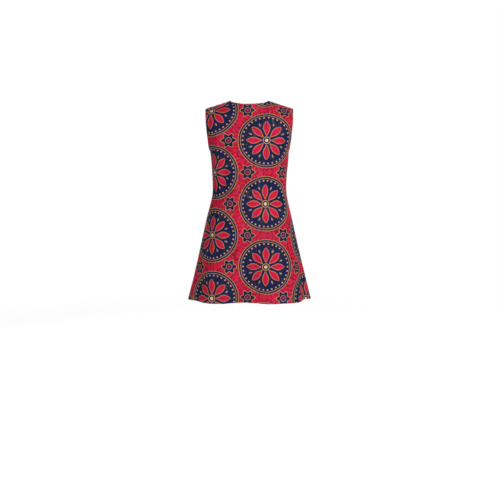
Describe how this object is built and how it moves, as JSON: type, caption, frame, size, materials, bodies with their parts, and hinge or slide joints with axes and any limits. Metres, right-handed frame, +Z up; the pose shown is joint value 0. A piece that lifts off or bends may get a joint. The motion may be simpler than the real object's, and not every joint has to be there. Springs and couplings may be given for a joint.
{
  "type": "sleeveless wax print dress",
  "caption": "Short sleeveless A-line dress of printed cotton, hollow as worn, with a round neck and a softly folded hem.",
  "frame": {"origin": "midway between the two shoulder seams, level with their neck ends, where the wearer's shoulders carry the dress", "axes": "+Z up, +X towards the wearer's left, the front of the dress faces -Y and its back +Y"},
  "size_m": [0.5393, 0.2986, 0.8584],
  "materials": {
    "printed_cotton": "crisp plain-weave cotton with a slight waxy sheen, printed on both sides in crimson, navy and tan"
  },
  "bodies": {
    "root": {"back_panel": "printed_cotton", "front_panel": "printed_cotton"}
  },
  "joints": []
}
